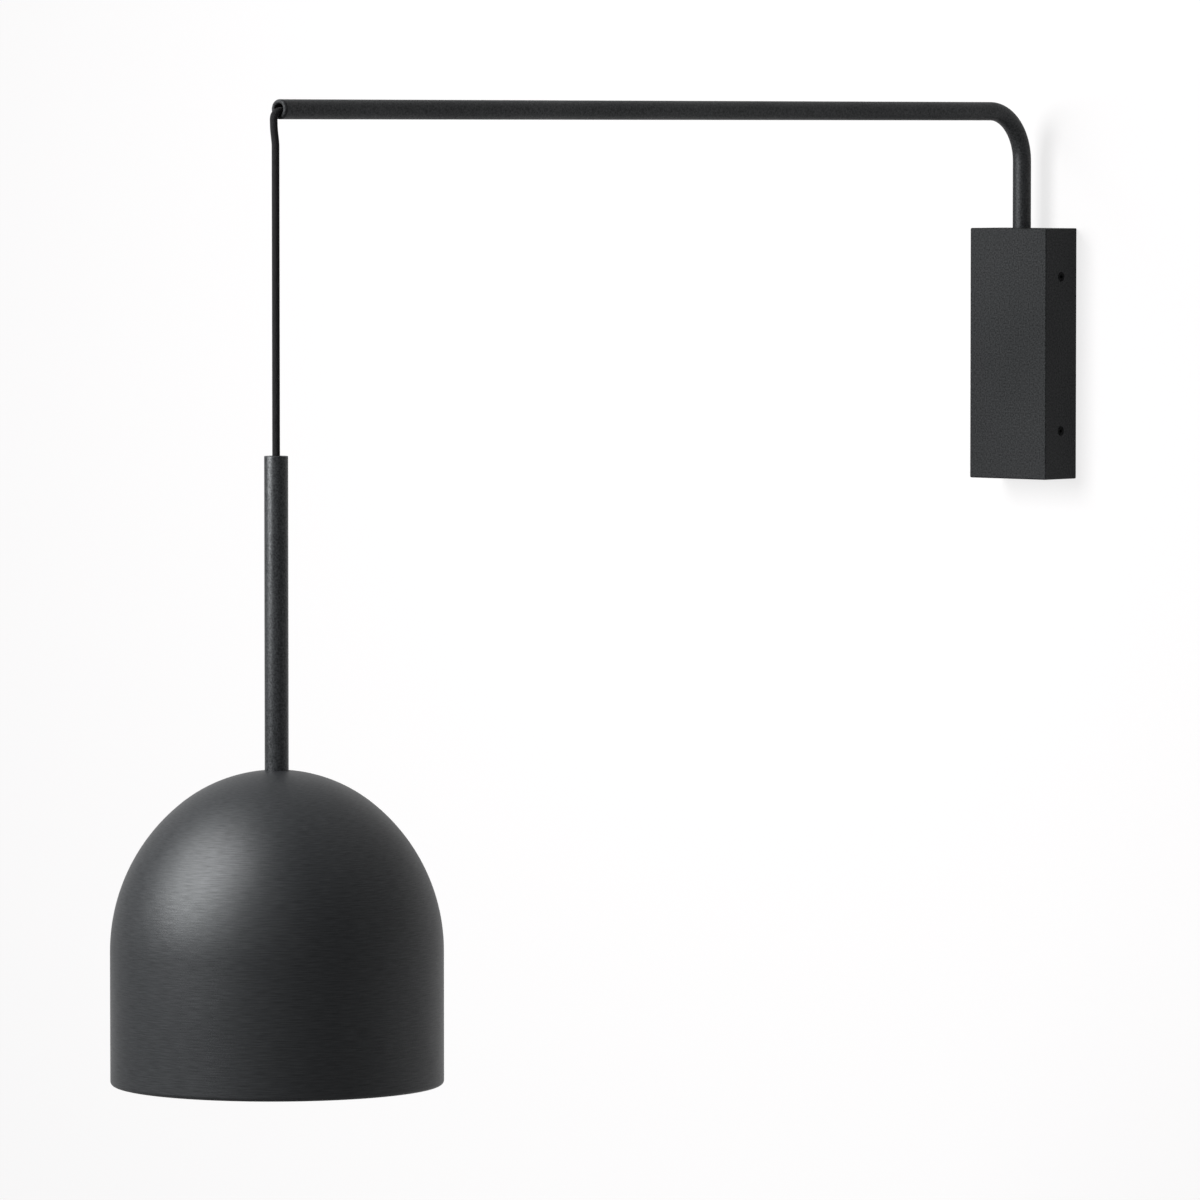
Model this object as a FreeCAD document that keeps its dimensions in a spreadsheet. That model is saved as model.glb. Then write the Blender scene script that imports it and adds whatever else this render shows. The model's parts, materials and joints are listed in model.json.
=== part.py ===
import FreeCAD, Part
import math
import operator
import os
import Sketcher
from FreeCAD import Placement, Rotation, Vector

# Hanging pendant wall sconce, in millimetres, +Z up.
# The wall is the plane y = 0 and the lamp stands out from it along -Y. The origin is the middle
# of the wall bracket's back. The arm's upright leg is the swivel axis, the level leg runs to its
# open mouth, and the pendant hangs from there on its own cord.

doc = FreeCAD.newDocument("pendant_wall_sconce")
sizes = doc.addObject("Spreadsheet::Sheet", "sizes")
OPERATORS = {"+": operator.add, "-": operator.sub, "*": operator.mul, "/": operator.truediv}


class Size:
    """A length that carries its number and the formula, in cells of the sheet, that gives it."""

    def __init__(self, number, formula):
        self.number = number
        self.formula = formula

    def __add__(self, other):
        return combined(self, "+", other)

    def __radd__(self, other):
        return combined(other, "+", self)

    def __sub__(self, other):
        return combined(self, "-", other)

    def __rsub__(self, other):
        return combined(other, "-", self)

    def __mul__(self, other):
        return combined(self, "*", other)

    def __rmul__(self, other):
        return combined(other, "*", self)

    def __truediv__(self, other):
        return combined(self, "/", other)

    def __neg__(self):
        return combined(0, "-", self)


def as_size(value):
    return value if isinstance(value, Size) else Size(float(value), f"({float(value)})")


def combined(left, sign, right):
    left, right = as_size(left), as_size(right)
    number = OPERATORS[sign](left.number, right.number)
    return Size(number, f"({left.formula} {sign} {right.formula})")


def root(value):
    return Size(math.sqrt(value.number), f"sqrt({value.formula})")


def size(name, number, note):
    """One driving dimension: a row of the sheet with its name, its number and what it measures."""
    row = size.rows = getattr(size, "rows", 0) + 1
    sizes.set(f"A{row}", name)
    sizes.set(f"B{row}", str(number))
    sizes.setAlias(f"B{row}", name)
    sizes.set(f"C{row}", note)
    return Size(float(number), f"sizes.{name}")


# --- driving dimensions -----------------------------------------------------------------------

# Wall box
box_width = size("box_width", 80, "wall box, side to side")
box_height = size("box_height", 205, "wall box, top to bottom")
box_depth = size("box_depth", 40, "wall box, wall to front")
box_wall = size("box_wall", 2, "sheet of the housing")
box_edge = size("box_edge", 1.2, "rounding of the housing's outer edges")
wall_gap = size("wall_gap", 0.3, "housing's back edge to the wall")
slip_gap = size("slip_gap", 0.2, "bracket flange to the housing's side")
bracket_wall = size("bracket_wall", 2, "sheet of the wall bracket")
bracket_inset = size("bracket_inset", 7.5, "bracket inside the housing's height, at each end")
bracket_flange = size("bracket_flange", 28, "wall to the free edge of a flange")
bracket_bend = size("bracket_bend", 3, "outer radius of the bracket's folds")
fixing_width = size("fixing_width", 50, "wall screws, side to side")
fixing_inset = size("fixing_inset", 22.5, "wall screws from the housing's top and foot")
fixing_radius = size("fixing_radius", 2.75, "hole for a wall screw")
cover_screw_depth = size("cover_screw_depth", 20, "wall to the side screws' axis")
cover_screw_inset = size("cover_screw_inset", 39.5, "side screws from the top and foot")
cover_screw_length = size("cover_screw_length", 9, "side screw, end to end")
cover_head_radius = size("cover_head_radius", 4, "countersink in the housing")
coarse_radius = size("coarse_radius", 2, "M4 screw")
fine_radius = size("fine_radius", 1.5, "M3 screw")
fit_gap = size("fit_gap", 0.05, "clearance all round where a piece seats in another")
loose_gap = size("loose_gap", 0.2, "clearance all round where a screw or tube passes")

# Swivel
pivot_depth = size("pivot_depth", 22, "wall to the swivel axis")
pivot_clearance = size("pivot_clearance", 1, "arm collar to the housing's top")
mouth_gap = size("mouth_gap", 0.5, "arm tube to the hole in the housing's top")
run_gap = size("run_gap", 0.05, "arm tube to its bushes, all round")
collar_height = size("collar_height", 8, "collar that the arm rests on")
collar_radius = size("collar_radius", 12, "outside of the arm collar")
washer_thick = size("washer_thick", 1, "thrust washer")
bush_lip = size("bush_lip", 1.5, "flange of a bush")
bush_wall = size("bush_wall", 1.5, "wall of a bush")
bush_length = size("bush_length", 14, "bush inside the sleeve")
sleeve_wall = size("sleeve_wall", 1.9, "wall of the swivel sleeve")
sleeve_length = size("sleeve_length", 65, "swivel sleeve, end to end")
tube_tail = size("tube_tail", 5.5, "arm tube below the lower bush")
carrier_wall = size("carrier_wall", 2.5, "sheet of the sleeve's carrier")
carrier_width = size("carrier_width", 50, "carrier, side to side")
carrier_back = size("carrier_back", 9, "wall to the carrier's shelves")
carrier_bend = size("carrier_bend", 3.5, "outer radius of the carrier's folds")
shelf_corner = size("shelf_corner", 6, "rounding of the shelves' free corners")
shelf_inset = size("shelf_inset", 6.5, "sleeve end to the carrier's shelf")
stop_radius = size("stop_radius", 2, "stop pin")
stop_reach = size("stop_reach", 13, "swivel axis to the end of the stop pin")
stop_gap = size("stop_gap", 0.15, "stop pin to its slot")
swivel_range = size("swivel_range", 80, "swivel each way, in degrees")

# Arm
tube_radius = size("tube_radius", 7.5, "outside of the arm tube")
tube_wall = size("tube_wall", 1.5, "wall of the arm tube")
bend_radius = size("bend_radius", 41, "bend of the arm, on its centreline")
arm_height = size("arm_height", 198, "level leg above the bracket's middle")
arm_reach = size("arm_reach", 894.5, "wall to the end of the arm tube")
lip_thick = size("lip_thick", 2.5, "flange of the mouth bush")
lip_round = size("lip_round", 1.4, "rounding of the mouth bush's lip")
mouth_bore = size("mouth_bore", 4.5, "bore radius of the mouth bush")
spigot_length = size("spigot_length", 12, "mouth bush inside the tube")

# Wiring in the wall box
entry_rise = size("entry_rise", 20.5, "cable entry above the housing's foot")
entry_radius = size("entry_radius", 8, "hole for the cable entry")
grommet_bore = size("grommet_bore", 5, "bore radius of the grommet")
grommet_lip = size("grommet_lip", 2, "grommet flange, thickness and overhang")
clamp_rise = size("clamp_rise", 61.5, "cord clamp above the housing's foot")
clamp_height = size("clamp_height", 10, "cord clamp, top to bottom")
clamp_wall = size("clamp_wall", 1.5, "strap of the cord clamp")
clamp_width = size("clamp_width", 28, "cord clamp, side to side")
clamp_screw_side = size("clamp_screw_side", 9.5, "clamp screws from the middle")
block_rise = size("block_rise", 41.5, "terminal block above the housing's foot")
block_width = size("block_width", 36, "terminal block, side to side")
block_height = size("block_height", 17, "terminal block, top to bottom")
block_depth = size("block_depth", 14, "terminal block, front to back")
pole_pitch = size("pole_pitch", 11, "terminal to terminal")
well_radius = size("well_radius", 1.9, "well over a terminal screw")
well_depth = size("well_depth", 7, "depth of a terminal screw's well")
well_level = size("well_level", 4.5, "wells above and below the block's middle")
wire_radius = size("wire_radius", 1.6, "hole for a wire in the terminal block")
earth_level = size("earth_level", 10, "earth screw above the middle")
head_thick = size("head_thick", 2.2, "head of a pan screw")

# Cord
cord_radius = size("cord_radius", 2.9, "braided cord")
cord_tail = size("cord_tail", 5, "arm cord below the arm tube")
cord_lift = size("cord_lift", 1.2, "cord below the arm's centreline in the mouth")
cord_bulge = size("cord_bulge", 1.9, "cord stands out past its hanging line below the mouth")
lip_bend = size("lip_bend", 6.2, "cord's bend over the lip, on its centreline")
joint_gap = size("joint_gap", 0.3, "gap between two lengths of cord that move apart")
swing_drop = size("swing_drop", 33.2, "swing axis below the arm's centreline")
sway_drop = size("sway_drop", 15, "sway axis below the swing axis")
hanging_length = size("hanging_length", 225.3, "swing axis to the stem's top")

# Pendant stem
cord_reach = size("cord_reach", 5.5, "end of the arm tube to the pendant's axis")
stem_length = size("stem_length", 235.4, "stem, end to end")
stem_radius = size("stem_radius", 9, "outside of the stem")
stem_wall = size("stem_wall", 1.2, "wall of the stem")
stem_edge = size("stem_edge", 0.4, "rounding of the stem's top edge")
plug_height = size("plug_height", 10, "plug in the stem's top")
plug_gap = size("plug_gap", 0.4, "cord to the bore of the plug")
grip_height = size("grip_height", 10, "cord grip below the plug")
grip_radius = size("grip_radius", 6.5, "outside of the cord grip")
insert_height = size("insert_height", 14, "threaded insert in the stem's foot")
nipple_radius = size("nipple_radius", 5, "M10 threaded tube")
nipple_wall = size("nipple_wall", 1.4, "wall of the threaded tube")
nipple_rise = size("nipple_rise", 10, "threaded tube inside the stem")

# Shade
shade_radius = size("shade_radius", 125, "outside of the shade")
dome_height = size("dome_height", 136, "dome, were it whole to its tip")
skirt_height = size("skirt_height", 100, "straight skirt below the dome")
shade_wall = size("shade_wall", 1.2, "sheet of the shade")
seat_radius = size("seat_radius", 10.5, "flat seat under the stem")
rim_round = size("rim_round", 3, "rounding of the rim")
rim_lip = size("rim_lip", 6, "rim turned in, measured from the outside")

# Lampholder and bulb, measured down from the shade's seat
clamp_washer = size("clamp_washer", 1.5, "washer under the shade's seat")
nut_thick = size("nut_thick", 4, "lock nut")
nut_flats = size("nut_flats", 14, "lock nut across its flats")
holder_drop = size("holder_drop", 8, "top of the lampholder's neck")
holder_radius = size("holder_radius", 19.5, "outside of the lampholder")
holder_wall = size("holder_wall", 2, "wall of the lampholder's cap")
neck_radius = size("neck_radius", 8, "neck of the lampholder's cap")
neck_height = size("neck_height", 5, "neck of the lampholder's cap")
cap_shoulder = size("cap_shoulder", 7, "slope of the cap's shoulder")
thread_length = size("thread_length", 8, "thread in the cap's neck")
cap_height = size("cap_height", 23, "lampholder's cap, top to bottom")
skirt_length = size("skirt_length", 31, "lampholder's body, top to bottom")
deck_thick = size("deck_thick", 3, "deck inside the lampholder's body")
contact_thick = size("contact_thick", 4, "ceramic block under the deck")
shell_radius = size("shell_radius", 14.5, "outside of the threaded shell")
shell_wall = size("shell_wall", 0.8, "sheet of the threaded shell")
rivet_radius = size("rivet_radius", 2, "shank of the centre contact")
rivet_head = size("rivet_head", 4, "head radius of the centre contact")
rivet_thick = size("rivet_thick", 1, "head of the centre contact")
base_radius = size("base_radius", 13.3, "E27 base of the bulb")
base_nose = size("base_nose", 4.5, "radius and slope of the base's tip")
base_length = size("base_length", 25, "E27 base, end to end")
globe_radius = size("globe_radius", 30, "bulb's globe")
globe_shoulder = size("globe_shoulder", 12, "globe's centre below the collar's edge")
bulb_neck = size("bulb_neck", 14.3, "bulb's collar at its base")
bulb_waist = size("bulb_waist", 22.5, "bulb's collar where it widens")
waist_drop = size("waist_drop", 18.5, "base to where the collar widens")
waist_round = size("waist_round", 30, "curve of the collar")
collar_length = size("collar_length", 41, "bulb's collar, base to globe")
doc.recompute()

# --- places that follow from them -------------------------------------------------------------

half_height = box_height / 2
bracket_height = box_height - 2 * bracket_inset
fixing_level = half_height - fixing_inset
cover_screw_level = half_height - cover_screw_inset
entry_level = entry_rise - half_height
clamp_level = clamp_rise - half_height
block_level = block_rise - half_height
collar_top = half_height - box_wall - pivot_clearance
sleeve_top = collar_top - collar_height - washer_thick - bush_lip
sleeve_bottom = sleeve_top - sleeve_length
tube_foot = sleeve_bottom - bush_lip - tube_tail
bush_bore = tube_radius + run_gap
bush_radius = bush_bore + bush_wall
sleeve_bore = bush_radius + fit_gap
sleeve_radius = sleeve_bore + sleeve_wall
cord_joint = tube_foot - cord_tail
cord_line = bracket_wall + cord_radius + loose_gap
block_top = block_level + block_height / 2
tube_bore = tube_radius - tube_wall
stem_bore = stem_radius - stem_wall
pendant_reach = arm_reach + cord_reach
swing_level = arm_height - swing_drop
sway_level = swing_level - sway_drop
stem_top = swing_level - hanging_length
tilt_level = stem_top + joint_gap + cord_radius
seat_level = stem_top - stem_length
cap_foot = holder_drop + cap_height
holder_foot = cap_foot + skirt_length
shell_top = cap_foot + deck_thick + contact_thick
base_tip = shell_top + rivet_thick + loose_gap
base_foot = base_tip + base_length
collar_foot = base_foot + collar_length
SUB_PARTS = []


# --- drawing helpers --------------------------------------------------------------------------


def bind(thing, name, value):
    """Gives a property its size, as a formula of the sheet's cells where it is one."""
    if isinstance(value, Size):
        thing.setExpression(name, value.formula)
    else:
        setattr(thing, name, value)


def fix(sketch, kind, *place, to):
    """Adds a dimension to a sketch and ties it to the sheet."""
    to = as_size(to)
    index = sketch.addConstraint(Sketcher.Constraint(kind, *place, to.number))
    if "sizes." in to.formula:
        sketch.setExpression(f"Constraints[{index}]", to.formula)


def new_body(label, place=(0, 0, 0), turn=None):
    """An empty body of one sub-part, at a place given in sizes, turned if need be."""
    body = doc.addObject("PartDesign::Body", label)
    body.Label = label
    put(body, place, turn)
    return body


def put(thing, place, turn=None):
    place = [as_size(value) for value in place]
    spot = Vector(*[value.number for value in place])
    thing.Placement = Placement(spot, turn or Rotation())
    for axis, value in zip("xyz", place):
        if "sizes." in value.formula:
            thing.setExpression(f"Placement.Base.{axis}", value.formula)


def keep(thing):
    """Marks a finished sub-part, whose label names its file."""
    SUB_PARTS.append(thing)
    return thing


def new_sketch(body, role, lift=0):
    """A sketch on one of the body's own planes, lifted off it along the plane's normal."""
    sketch = body.newObject("Sketcher::SketchObject", f"{body.Label}_sketch")
    plane = next(item for item in body.Origin.OriginFeatures if item.Role == role)
    sketch.AttachmentSupport = [(plane, "")]
    sketch.MapMode = "FlatFace"
    if isinstance(lift, Size):
        sketch.setExpression("AttachmentOffset.Base.z", lift.formula)
    return sketch


def corner_arc(before, corner, after, radius):
    """Start, middle and end of the arc that rounds a corner."""
    back, ahead = (before - corner).normalize(), (after - corner).normalize()
    half = back.getAngle(ahead) / 2
    centre = corner + (back + ahead).normalize() * (radius / math.sin(half))
    reach = radius / math.tan(half)
    middle = centre + (corner - centre).normalize() * radius
    return corner + back * reach, middle, corner + ahead * reach


def draw(sketch, corners, closed=True):
    """Straight lines through corners (across, up) or (across, up, rounding), all in sizes.

    Gives the lines back, so that other curves can be joined to an open outline's ends.
    """
    points = [Vector(as_size(c[0]).number, as_size(c[1]).number, 0) for c in corners]
    count = len(points)
    ends = []
    for i, corner in enumerate(corners):
        if len(corner) == 3:
            before, after = points[i - 1], points[(i + 1) % count]
            ends.append(corner_arc(before, points[i], after, as_size(corner[2]).number))
        else:
            ends.append((points[i], None, points[i]))
    lines = []
    for i in range(count if closed else count - 1):
        segment = Part.LineSegment(ends[i][2], ends[(i + 1) % count][0])
        lines.append(sketch.addGeometry(segment))
    for i, corner in enumerate(corners):
        into = lines[i - 1] if closed or i > 0 else None
        out = lines[i] if closed or i < count - 1 else None
        if len(corner) == 3:
            round_corner(sketch, ends[i], into, out, points[i], corner)
            continue
        line, end = (out, 1) if out is not None else (into, 2)
        if into is not None and out is not None:
            sketch.addConstraint(Sketcher.Constraint("Coincident", into, 2, out, 1))
        fix(sketch, "DistanceX", -1, 1, line, end, to=corner[0])
        fix(sketch, "DistanceY", -1, 1, line, end, to=corner[1])
    return lines


def round_corner(sketch, ends, into, out, point, corner):
    """Joins two lines by a tangent arc whose corner point and radius are dimensioned."""
    arc = sketch.addGeometry(Part.Arc(*ends))
    first = 1 if sketch.getPoint(arc, 1).distanceToPoint(ends[0]) < 1e-6 else 2
    sketch.addConstraint(Sketcher.Constraint("Tangent", into, 2, arc, first))
    sketch.addConstraint(Sketcher.Constraint("Tangent", out, 1, arc, 3 - first))
    mark = sketch.addGeometry(Part.Point(point), True)
    sketch.addConstraint(Sketcher.Constraint("PointOnObject", mark, 1, into))
    sketch.addConstraint(Sketcher.Constraint("PointOnObject", mark, 1, out))
    fix(sketch, "DistanceX", -1, 1, mark, 1, to=corner[0])
    fix(sketch, "DistanceY", -1, 1, mark, 1, to=corner[1])
    fix(sketch, "Radius", arc, to=corner[2])


def draw_circle(sketch, across, up, radius):
    centre = Vector(as_size(across).number, as_size(up).number, 0)
    circle = Part.Circle(centre, Vector(0, 0, 1), as_size(radius).number)
    index = sketch.addGeometry(circle)
    fix(sketch, "DistanceX", -1, 1, index, 3, to=across)
    fix(sketch, "DistanceY", -1, 1, index, 3, to=up)
    fix(sketch, "Radius", index, to=radius)


def rectangle(sketch, left, right, low, high):
    draw(sketch, [(left, low), (right, low), (right, high), (left, high)])


def hexagon(sketch, flats):
    """A regular hexagon about the sketch's origin, from its size across the flats."""
    corner = flats / math.sqrt(3)
    turns = [math.radians(60 * i) for i in range(6)]
    draw(sketch, [(corner * math.cos(t), corner * math.sin(t)) for t in turns])


def pad(body, sketch, length, both=False, back=False):
    feature = body.newObject("PartDesign::Pad", f"{body.Label}_pad")
    feature.Profile = sketch
    bind(feature, "Length", length)
    feature.Midplane = both
    feature.Reversed = back
    doc.recompute()
    return feature


def pocket(body, sketch, length=None, both=False, back=False):
    """Cuts a sketch out of the body, to a length or right through, and makes sure that it cut."""
    before = body.Tip.Shape.Volume
    feature = body.newObject("PartDesign::Pocket", f"{body.Label}_pocket")
    feature.Profile = sketch
    feature.Midplane = both
    feature.Reversed = back
    if length is None:
        feature.Type = "ThroughAll"
    else:
        bind(feature, "Length", length)
    doc.recompute()
    if not feature.Shape.Volume < before:
        raise ValueError(f"{feature.Label} cuts nothing")
    return feature


def turn_round(body, sketch):
    feature = body.newObject("PartDesign::Revolution", f"{body.Label}_turned")
    feature.Profile = sketch
    feature.ReferenceAxis = (sketch, ["V_Axis"])
    feature.Angle = 360
    doc.recompute()
    return feature


def turned(label, corners, place=(0, 0, 0), turn=None):
    """A turned piece: its half outline, as (radius, height) corners, round its own Z axis."""
    body = new_body(label, place, turn)
    sketch = new_sketch(body, "XZ_Plane")
    draw(sketch, corners)
    turn_round(body, sketch)
    return body


def ring(inner, outer, low, high):
    return [(inner, low), (outer, low), (outer, high), (inner, high)]


def edge_names(feature, wanted):
    return [f"Edge{i}" for i, edge in enumerate(feature.Shape.Edges, 1) if wanted(edge)]


def soften(body, kind, names, property_name, amount):
    """Fillets or chamfers the named edges of the body's last feature."""
    feature = body.newObject(f"PartDesign::{kind}", f"{body.Label}_{kind.lower()}")
    feature.Base = (body.Tip if body.Tip != feature else feature.BaseFeature, names)
    bind(feature, property_name, amount)
    doc.recompute()
    return feature


def group(label, pieces):
    """Identical pieces kept as one node of separate solids."""
    compound = doc.addObject("Part::Compound", label)
    compound.Label = label
    compound.Links = pieces
    return keep(compound)


def pan_screw(label, radius, length, place, turn):
    """A screw with a low round head, standing on its own XY plane."""
    head = radius * 1.9
    slope = head_thick / 2
    corners = [(0, head_thick), (head - slope, head_thick), (head, slope), (head, 0)]
    corners += [(radius, 0), (radius, -length), (0, -length)]
    return turned(label, corners, place, turn)


# --- wall box ---------------------------------------------------------------------------------

TO_RIGHT = Rotation(Vector(0, 1, 0), 90)
TO_LEFT = Rotation(Vector(0, 1, 0), -90)
TO_FRONT = Rotation(Vector(1, 0, 0), 90)
TO_WALL = Rotation(Vector(1, 0, 0), -90)


def make_wall_bracket():
    """A folded channel, screwed to the wall, whose flanges take the housing's side screws."""
    body = new_body("wall_bracket")
    outer = box_width / 2 - box_wall - slip_gap
    inner = outer - bracket_wall
    bend_in = bracket_bend - bracket_wall
    sketch = new_sketch(body, "XY_Plane")
    draw(sketch, [
        (-outer, 0, bracket_bend), (-outer, -bracket_flange),
        (-inner, -bracket_flange), (-inner, -bracket_wall, bend_in),
        (inner, -bracket_wall, bend_in), (inner, -bracket_flange),
        (outer, -bracket_flange), (outer, 0, bracket_bend),
    ])
    pad(body, sketch, bracket_height, both=True)
    holes = new_sketch(body, "XZ_Plane")
    for side in (-1, 1):
        for up in (-1, 1):
            draw_circle(holes, side * fixing_width / 2, up * fixing_level, fixing_radius)
        draw_circle(holes, side * clamp_screw_side, clamp_level, fine_radius + fit_gap)
        draw_circle(holes, side * pole_pitch / 2, block_level, fine_radius + fit_gap)
    draw_circle(holes, 0, earth_level, coarse_radius + fit_gap)
    draw_circle(holes, 0, entry_level, entry_radius)
    pocket(body, holes, both=True)
    side_holes = new_sketch(body, "YZ_Plane")
    for up in (-1, 1):
        draw_circle(side_holes, -cover_screw_depth, up * cover_screw_level,
                    coarse_radius + fit_gap)
    pocket(body, side_holes, both=True)
    keep(body)


def make_wall_housing():
    """The box seen from outside: a deep tray, open to the wall, with the arm's hole on top."""
    body = new_body("wall_housing")
    half = box_width / 2
    sketch = new_sketch(body, "XY_Plane")
    rectangle(sketch, -half, half, -box_depth, -wall_gap)
    block = pad(body, sketch, box_height, both=True)
    back = -wall_gap.number
    names = edge_names(block, lambda edge: edge.BoundBox.YMin < back - 1)
    soften(body, "Fillet", names, "Radius", box_edge)
    inside = new_sketch(body, "XZ_Plane")
    high = half_height - box_wall
    rectangle(inside, box_wall - half, half - box_wall, -high, high)
    pocket(body, inside, box_depth - box_wall, back=True)
    top_hole = new_sketch(body, "XY_Plane")
    draw_circle(top_hole, 0, -pivot_depth, tube_radius + mouth_gap)
    pocket(body, top_hole, back=True)
    side_holes = new_sketch(body, "YZ_Plane")
    hole_radius = coarse_radius + loose_gap
    for up in (-1, 1):
        draw_circle(side_holes, -cover_screw_depth, up * cover_screw_level, hole_radius)
    drilled = pocket(body, side_holes, both=True)
    names = edge_names(drilled, lambda edge: is_rim(edge, half.number, hole_radius.number))
    soften(body, "Chamfer", names, "Size", cover_head_radius - hole_radius)
    keep(body)


def is_rim(edge, side, radius):
    """Whether an edge is a hole's circle on one of the housing's outer sides."""
    box = edge.BoundBox
    on_side = box.XLength < 0.01 and abs(abs(box.XMax) - side) < 0.01
    return on_side and abs(box.ZLength - 2 * radius) < 0.01


def make_cover_screws():
    """Four countersunk screws with hexagon sockets, two in each side of the housing."""
    head = cover_head_radius - loose_gap / 2
    screws = []
    for side, turn in ((-1, TO_LEFT), (1, TO_RIGHT)):
        for up in (-1, 1):
            place = (side * box_width / 2, -cover_screw_depth, up * cover_screw_level)
            corners = [(0, 0), (head, 0), (coarse_radius, coarse_radius - head)]
            corners += [(coarse_radius, -cover_screw_length), (0, -cover_screw_length)]
            screw = turned(f"cover_screw_{len(screws) + 1}", corners, place, turn)
            socket = new_sketch(screw, "XY_Plane")
            hexagon(socket, coarse_radius * 1.25)
            pocket(screw, socket, coarse_radius * 0.8)
            screws.append(screw)
    group("cover_screws", screws)


def make_pivot_carrier():
    """A folded C with two shelves, welded inside the housing's front, that holds the sleeve."""
    body = new_body("pivot_carrier")
    front, back = box_wall - box_depth, -carrier_back
    top, bottom = sleeve_top - shelf_inset, sleeve_bottom + shelf_inset
    bend_in = carrier_bend - carrier_wall
    sketch = new_sketch(body, "YZ_Plane")
    draw(sketch, [
        (back, top), (front, top, carrier_bend), (front, bottom, carrier_bend), (back, bottom),
        (back, bottom + carrier_wall), (front + carrier_wall, bottom + carrier_wall, bend_in),
        (front + carrier_wall, top - carrier_wall, bend_in), (back, top - carrier_wall),
    ])
    folded = pad(body, sketch, carrier_width, both=True)
    corner = back.number
    names = edge_names(folded, lambda edge: edge.BoundBox.YMin > corner - 1e-6
                       and edge.BoundBox.XLength < 1e-6)
    soften(body, "Fillet", names, "Radius", shelf_corner)
    hole = new_sketch(body, "XY_Plane")
    draw_circle(hole, 0, -pivot_depth, sleeve_radius + fit_gap)
    pocket(body, hole, both=True)
    keep(body)


def make_pivot_sleeve():
    """The tube that the arm turns in, with the arc slot that stops the swivel."""
    corners = ring(sleeve_bore, sleeve_radius, 0, sleeve_length)
    body = turned("pivot_sleeve", corners, (0, -pivot_depth, sleeve_bottom))
    slot = new_sketch(body, "YZ_Plane")
    half = stop_radius + stop_gap
    middle = sleeve_length / 2
    rectangle(slot, sleeve_bore - 1, sleeve_radius + 1, middle - half, middle + half)
    groove = body.newObject("PartDesign::Groove", "pivot_sleeve_slot")
    groove.Profile = slot
    groove.ReferenceAxis = (slot, ["V_Axis"])
    pin_half = math.degrees(math.asin(half.number / sleeve_bore.number))
    groove.Angle = 2 * (swivel_range.number + pin_half)
    groove.Midplane = True
    before = body.Tip.Shape.Volume if body.Tip != groove else groove.BaseFeature.Shape.Volume
    doc.recompute()
    if not groove.Shape.Volume < before:
        raise ValueError("the stop slot cuts nothing")
    keep(body)


def make_bushes():
    """Flanged bushes at the sleeve's two ends, and the washer that the arm's collar rests on."""
    for label, end, up in (("upper_bush", sleeve_top, 1), ("lower_bush", sleeve_bottom, -1)):
        corners = [
            (bush_bore, up * bush_lip), (sleeve_radius, up * bush_lip), (sleeve_radius, 0),
            (bush_radius, 0), (bush_radius, -up * bush_length), (bush_bore, -up * bush_length),
        ]
        keep(turned(label, corners, (0, -pivot_depth, end)))
    corners = ring(bush_bore + loose_gap, sleeve_radius, 0, washer_thick)
    keep(turned("thrust_washer", corners, (0, -pivot_depth, sleeve_top + bush_lip)))


def make_cable_grommet():
    """Rubber edging of the cable entry, flush with the bracket's back."""
    rim = entry_radius + grommet_lip
    corners = [
        (grommet_bore, 0), (entry_radius, 0), (entry_radius, bracket_wall),
        (rim, bracket_wall), (rim, bracket_wall + grommet_lip),
        (grommet_bore, bracket_wall + grommet_lip),
    ]
    keep(turned("cable_grommet", corners, (0, 0, entry_level), TO_FRONT))


def make_cord_clamp():
    """A strap that holds the cord to the bracket, with its two screws."""
    body = new_body("cord_clamp", (0, 0, clamp_level))
    side = cord_radius + joint_gap
    ear = clamp_width / 2
    crown = cord_line + side
    sketch = new_sketch(body, "XY_Plane")
    draw(sketch, [
        (-ear, -bracket_wall), (-ear, -bracket_wall - clamp_wall),
        (-side - clamp_wall, -bracket_wall - clamp_wall),
        (-side - clamp_wall, -crown - clamp_wall, cord_radius + clamp_wall),
        (side + clamp_wall, -crown - clamp_wall, cord_radius + clamp_wall),
        (side + clamp_wall, -bracket_wall - clamp_wall),
        (ear, -bracket_wall - clamp_wall), (ear, -bracket_wall),
        (side, -bracket_wall), (side, -crown, cord_radius),
        (-side, -crown, cord_radius), (-side, -bracket_wall),
    ])
    pad(body, sketch, clamp_height, both=True)
    holes = new_sketch(body, "XZ_Plane")
    for way in (-1, 1):
        draw_circle(holes, way * clamp_screw_side, 0, fine_radius + loose_gap)
    pocket(body, holes, both=True)
    keep(body)
    seat = bracket_wall + clamp_wall
    screws = []
    for way in (-1, 1):
        place = (way * clamp_screw_side, -seat, clamp_level)
        label = f"clamp_screw_{len(screws) + 1}"
        screws.append(pan_screw(label, fine_radius, seat - loose_gap, place, TO_FRONT))
    group("clamp_screws", screws)


def make_terminal_block():
    """Three poles, each with an upper and a lower screw, on the bracket by two long screws."""
    body = new_body("terminal_block")
    middle, half = block_level, block_height / 2
    sketch = new_sketch(body, "XZ_Plane", bracket_wall)
    rectangle(sketch, -block_width / 2, block_width / 2, middle - half, middle + half)
    pad(body, sketch, block_depth)
    wells = new_sketch(body, "XZ_Plane", bracket_wall + block_depth)
    wires = new_sketch(body, "XY_Plane")
    for pole in (-1, 0, 1):
        for up in (-1, 1):
            draw_circle(wells, pole * pole_pitch, middle + up * well_level, well_radius)
        draw_circle(wires, pole * pole_pitch, -bracket_wall - block_depth / 3, wire_radius)
    pocket(body, wells, well_depth)
    pocket(body, wires, both=True)
    fixings = new_sketch(body, "XZ_Plane")
    for way in (-1, 1):
        draw_circle(fixings, way * pole_pitch / 2, middle, fine_radius + loose_gap)
    pocket(body, fixings, both=True)
    keep(body)
    make_block_screws()


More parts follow.
